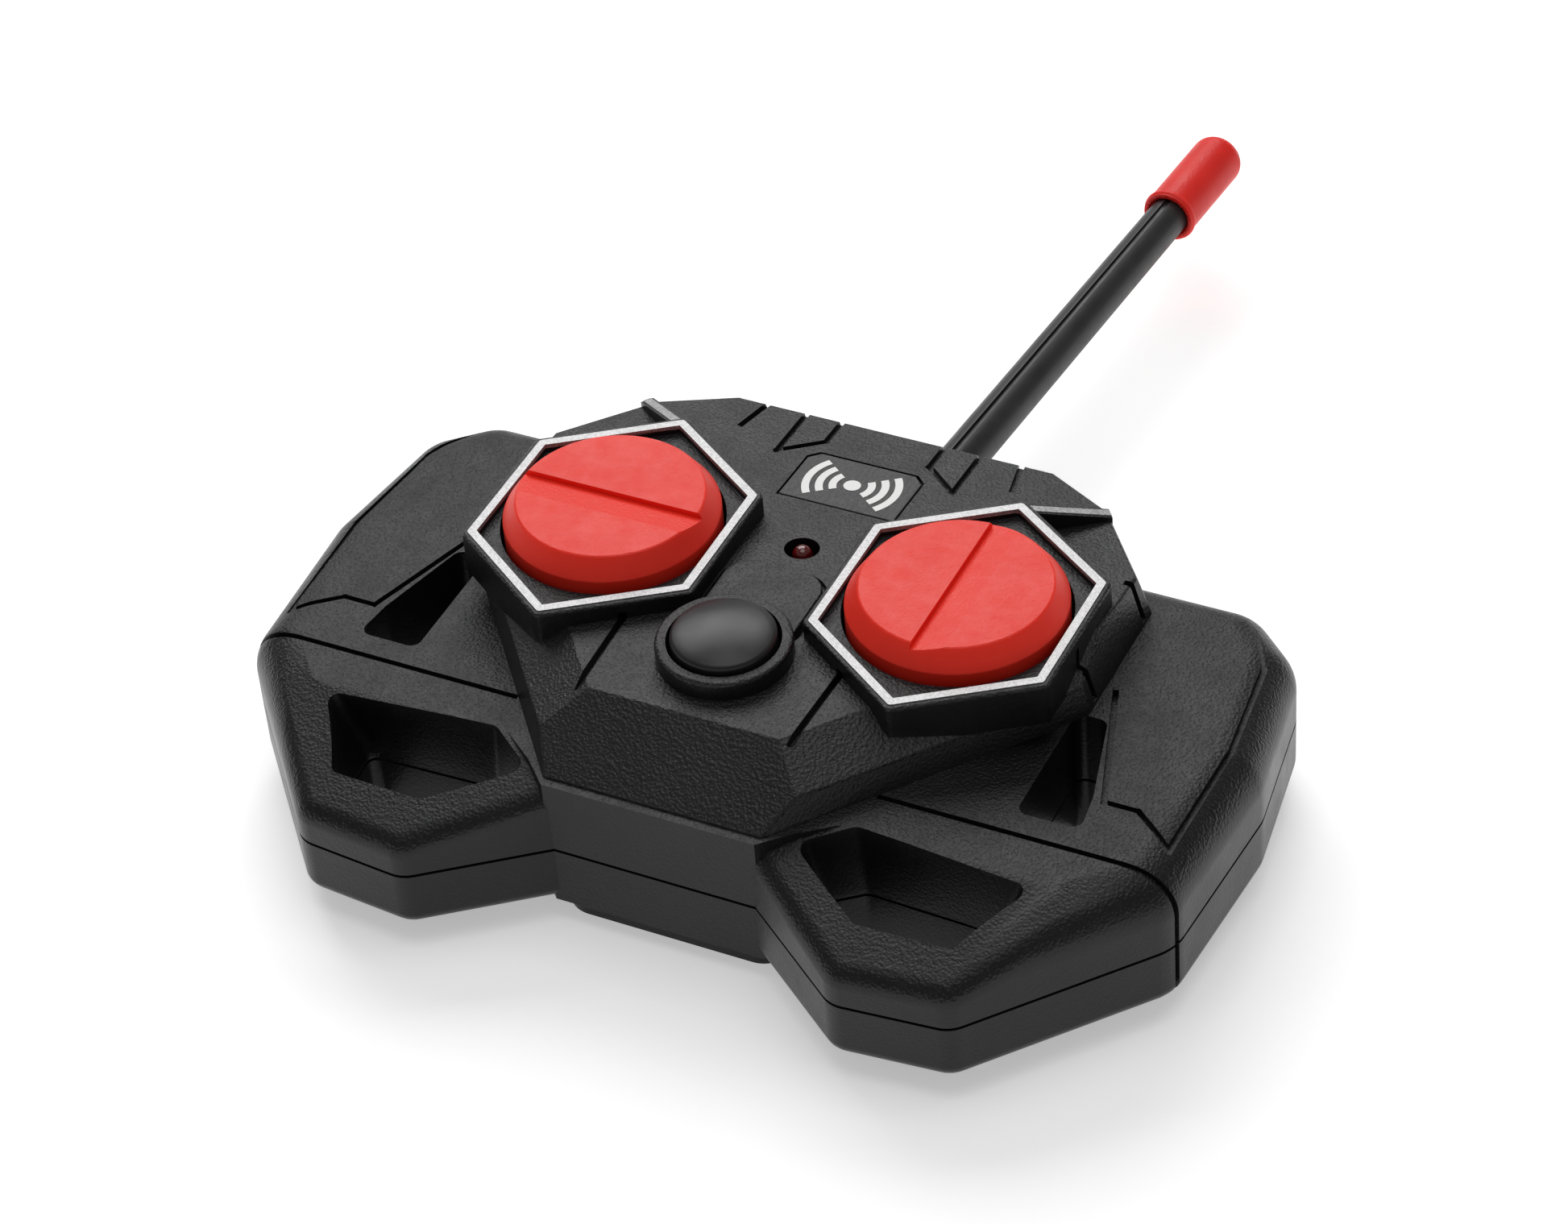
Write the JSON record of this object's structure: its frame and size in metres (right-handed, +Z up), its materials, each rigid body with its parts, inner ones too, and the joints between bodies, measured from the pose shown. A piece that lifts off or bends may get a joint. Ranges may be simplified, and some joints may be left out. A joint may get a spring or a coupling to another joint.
{
  "type": "handheld radio remote control transmitter",
  "caption": "Wing-shaped toy radio transmitter with tilting red rockers in hexagonal bezels, centre push button, finger loops and a rod antenna.",
  "frame": {"origin": "on the flat battery-door foot it rests on, on the symmetry plane of the case", "axes": "+X to the user's right, +Y away from the user along the antenna, +Z up out of the buttons"},
  "size_m": [0.148, 0.2001, 0.0403],
  "materials": {
    "case_plastic": "fine grained charcoal moulding",
    "hood_plastic": "fine grained charcoal moulding",
    "door_plastic": "fine grained charcoal moulding",
    "button_black": "smooth satin black",
    "rocker_red": "satin red",
    "cap_red": "soft satin red",
    "trim_silver": "hot stamped silver foil",
    "label": "grained black inlay",
    "led_red": "deep red tinted lens",
    "antenna_black": "satin black",
    "steel": "bright",
    "spring_steel": "nickel plated",
    "board": "green solder mask",
    "chip_black": "moulded epoxy",
    "rubber": "silicone",
    "copper": "enamelled copper winding",
    "can": "sleeved aluminium",
    "resistor": "lacquered",
    "cell_jacket": "printed sleeve",
    "post_plastic": "natural moulding",
    "wire": "pvc insulation"
  },
  "bodies": {
    "case": {"lower_case": "case_plastic", "upper_case": "case_plastic", "hood": "hood_plastic", "bezel_trim_right": "trim_silver", "bezel_trim_left": "trim_silver", "label_plate": "label", "pivot_post_left": "post_plastic", "pivot_post_right": "post_plastic", "centre_spring": "spring_steel", "circuit_board": "board", "dome_switches": "rubber", "led": "led_red", "chip": "chip_black", "crystal": "steel", "coil": "copper", "capacitors": "can", "resistors": "resistor", "cell_right": "cell_jacket", "cell_left": "cell_jacket", "contact_plates": "steel", "contact_springs": "spring_steel", "power_wires": "wire", "antenna_rod": "antenna_black", "antenna_cap": "cap_red", "antenna_socket": "post_plastic", "case_screws": "steel"},
    "rocker_left": {"rocker_left": "rocker_red", "pivot_pin_left": "steel"},
    "rocker_right": {"rocker_right": "rocker_red", "pivot_pin_right": "steel"},
    "centre_button": {"centre_button": "button_black"},
    "battery_door": {"battery_door": "door_plastic"}
  },
  "joints": [
    {"name": "rocker_left_tilt", "type": "hinge", "parent": "case", "child": "rocker_left", "pos_m": [-0.0272, 0.0069, 0.034], "axis": [1, 0, 0], "range_deg": [-6, 6], "stiffness_Nm_per_rad": 0.05},
    {"name": "rocker_right_tilt", "type": "hinge", "parent": "case", "child": "rocker_right", "pos_m": [0.0272, 0.0069, 0.034], "axis": [0, 1, 0], "range_deg": [-6, 6], "stiffness_Nm_per_rad": 0.05},
    {"name": "centre_button_push", "type": "slide", "parent": "case", "child": "centre_button", "axis": [0, 0, -1], "range_m": [0, 0.0012], "stiffness_N_per_m": 400, "deforming": ["centre_spring"]},
    {"name": "battery_door_slide", "type": "slide", "parent": "case", "child": "battery_door", "axis": [0, 1, 0], "range_m": [0, 0.04]}
  ]
}
